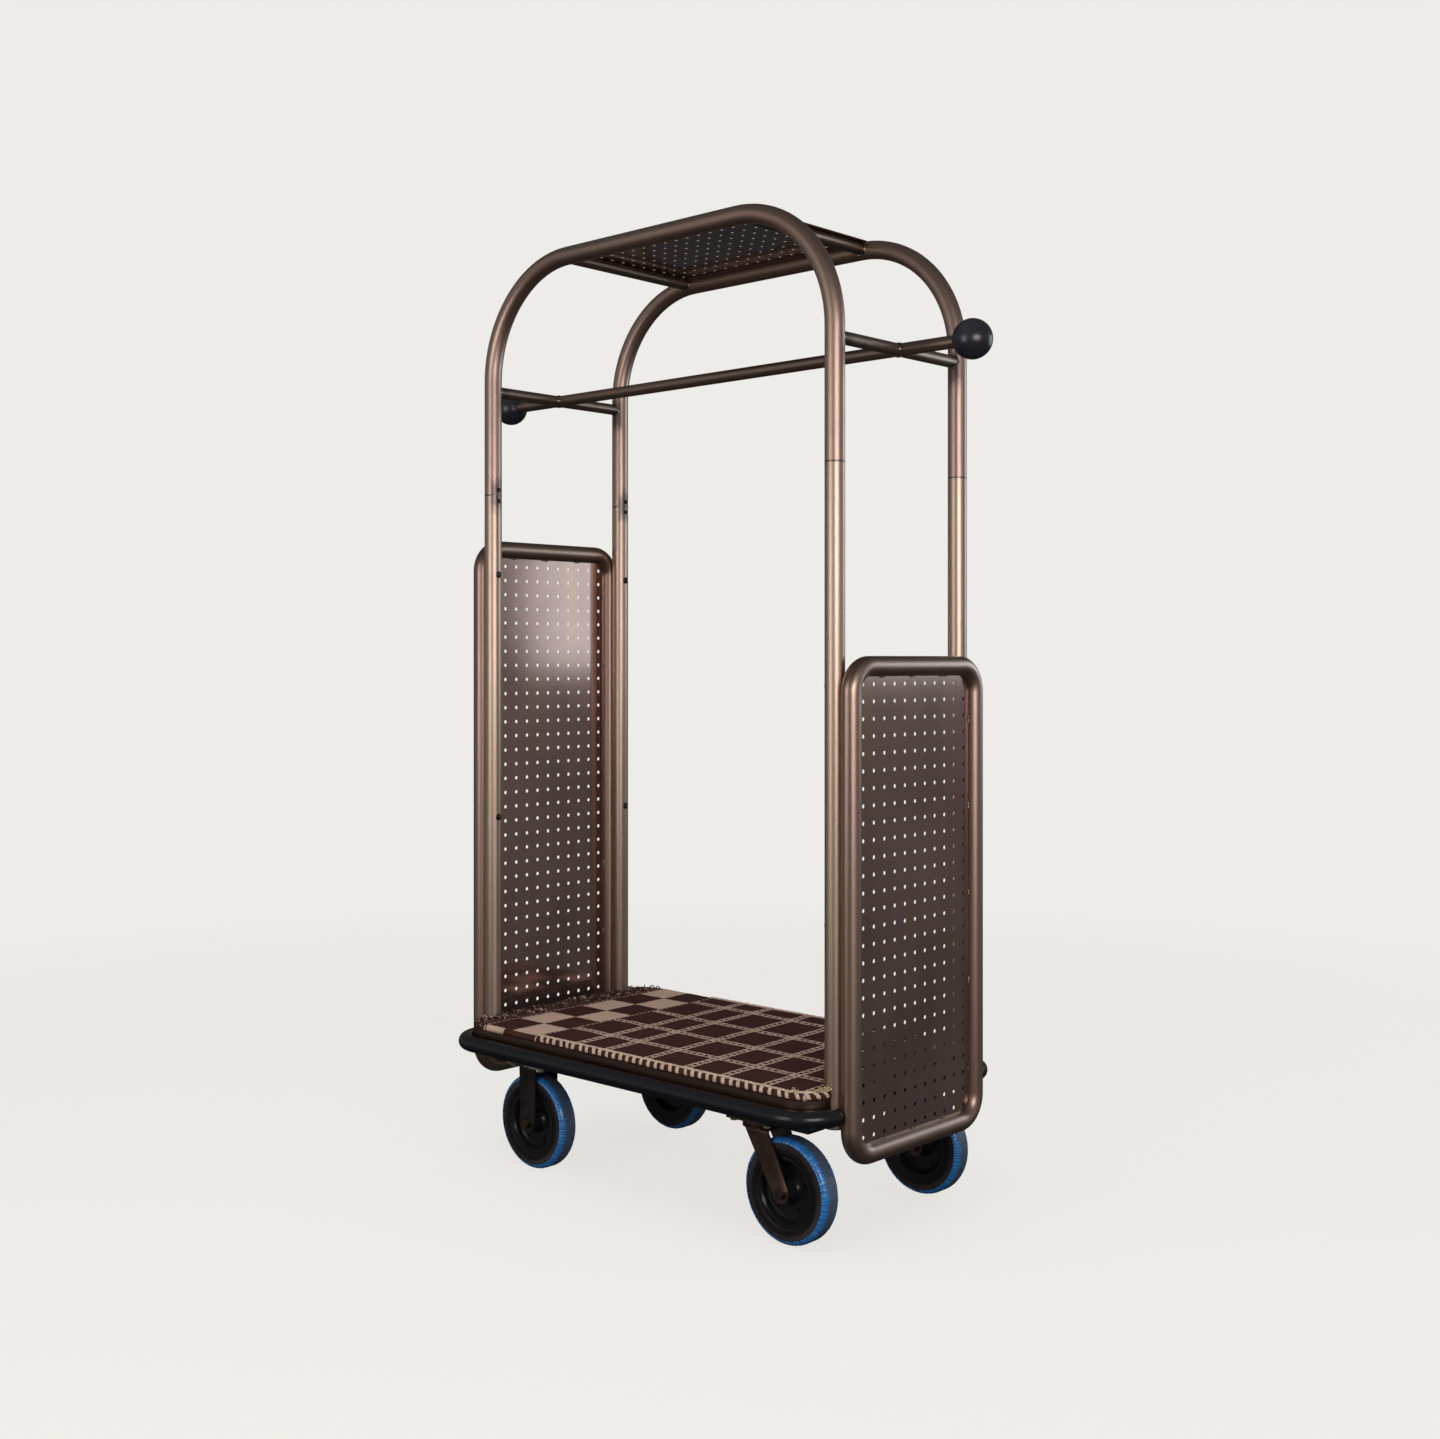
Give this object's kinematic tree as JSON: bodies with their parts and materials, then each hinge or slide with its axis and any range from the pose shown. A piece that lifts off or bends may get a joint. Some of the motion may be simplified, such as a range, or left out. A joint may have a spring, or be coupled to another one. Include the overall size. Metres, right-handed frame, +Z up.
{
  "type": "hotel luggage cart",
  "caption": "Hotel luggage cart: twin tube arches over a carpeted deck with rubber bumper, hanging rail with ball ends, perforated roof and end panels, rigid and swivel casters.",
  "frame": {"origin": "on the floor under the centre of the deck, at the bottom centre of the bounding box", "axes": "+X along the cart towards the swivel casters and the lower end panel, +Y across the cart, +Z up"},
  "size_m": [1.384, 0.6198, 1.964],
  "materials": {
    "bronze_tube": "brushed antique bronze plating over steel tube",
    "bronze_rail": "darker brushed antique bronze",
    "bronze_sheet": "satin dark bronze sheet",
    "bronze_trim": "brushed dark bronze strip",
    "knob_black": "satin black moulded ball",
    "bumper_rubber": "smooth black rubber",
    "carpet": "cut pile carpet, dark brown with tan pattern",
    "plywood": "birch plywood",
    "black_steel": "satin black paint",
    "fork_bronze": "satin dark bronze paint",
    "tyre": "black moulded rubber",
    "blue_film": "wrinkled translucent blue film",
    "rim_black": "moulded black rim",
    "black_screw": "blackened steel",
    "plug_black": "moulded black plug",
    "zinc_steel": "zinc-plated steel"
  },
  "bodies": {
    "cart": {"arch_front": "bronze_tube", "arch_back": "bronze_tube", "post_front_left": "bronze_tube", "post_front_right": "bronze_tube", "post_back_left": "bronze_tube", "post_back_right": "bronze_tube", "splice_sleeves": "zinc_steel", "splice_screws": "black_screw", "post_end_plugs": "plug_black", "hanging_rail": "bronze_rail", "crossbar_left": "bronze_rail", "crossbar_right": "bronze_rail", "ball_knob_left": "knob_black", "ball_knob_right": "knob_black", "roof_crossbars": "bronze_rail", "roof_panel": "bronze_sheet", "roof_screws": "zinc_steel", "side_frame_left": "bronze_tube", "side_frame_right": "bronze_tube", "side_panel_left": "bronze_sheet", "side_panel_right": "bronze_sheet", "panel_bolts_left": "black_screw", "panel_bolts_right": "black_screw", "panel_inserts": "zinc_steel", "underframe": "black_steel", "deck_board": "plywood", "deck_trim": "bronze_trim", "carpet": "carpet", "bumper_front": "bumper_rubber", "bumper_back": "bumper_rubber", "rigid_fork_front_left": "black_steel", "rigid_fork_back_left": "black_steel", "swivel_plates": "fork_bronze", "swivel_bearings": "zinc_steel", "kingpins": "zinc_steel", "caster_bolts": "zinc_steel", "axle_bolt_front_left": "zinc_steel", "axle_bolt_back_left": "zinc_steel"},
    "swivel_front_right": {"swivel_fork_front_right": "fork_bronze", "axle_bolt_front_right": "zinc_steel"},
    "swivel_back_right": {"swivel_fork_back_right": "fork_bronze", "axle_bolt_back_right": "zinc_steel"},
    "wheel_front_left": {"tyre_front_left": "tyre", "tread_wrap_front_left": "blue_film", "rim_front_left": "rim_black", "wheel_bearings_front_left": "zinc_steel"},
    "wheel_back_left": {"tyre_back_left": "tyre", "tread_wrap_back_left": "blue_film", "rim_back_left": "rim_black", "wheel_bearings_back_left": "zinc_steel"},
    "wheel_front_right": {"tyre_front_right": "tyre", "tread_wrap_front_right": "blue_film", "rim_front_right": "rim_black", "wheel_bearings_front_right": "zinc_steel"},
    "wheel_back_right": {"tyre_back_right": "tyre", "tread_wrap_back_right": "blue_film", "rim_back_right": "rim_black", "wheel_bearings_back_right": "zinc_steel"}
  },
  "joints": [
    {"name": "swivel_front_right_turn", "type": "hinge", "parent": "cart", "child": "swivel_front_right", "pos_m": [0.318, -0.209, 0.21], "axis": [0, 0, 1], "continuous": true},
    {"name": "swivel_back_right_turn", "type": "hinge", "parent": "cart", "child": "swivel_back_right", "pos_m": [0.318, 0.209, 0.21], "axis": [0, 0, 1], "continuous": true},
    {"name": "wheel_front_left_spin", "type": "hinge", "parent": "cart", "child": "wheel_front_left", "pos_m": [-0.318, -0.209, 0.1], "axis": [0, 1, 0], "continuous": true},
    {"name": "wheel_back_left_spin", "type": "hinge", "parent": "cart", "child": "wheel_back_left", "pos_m": [-0.318, 0.209, 0.1], "axis": [0, 1, 0], "continuous": true},
    {"name": "wheel_front_right_spin", "type": "hinge", "parent": "swivel_front_right", "child": "wheel_front_right", "pos_m": [0.392, -0.209, 0.1], "axis": [0, 1, 0], "continuous": true},
    {"name": "wheel_back_right_spin", "type": "hinge", "parent": "swivel_back_right", "child": "wheel_back_right", "pos_m": [0.392, 0.209, 0.1], "axis": [0, 1, 0], "continuous": true}
  ]
}
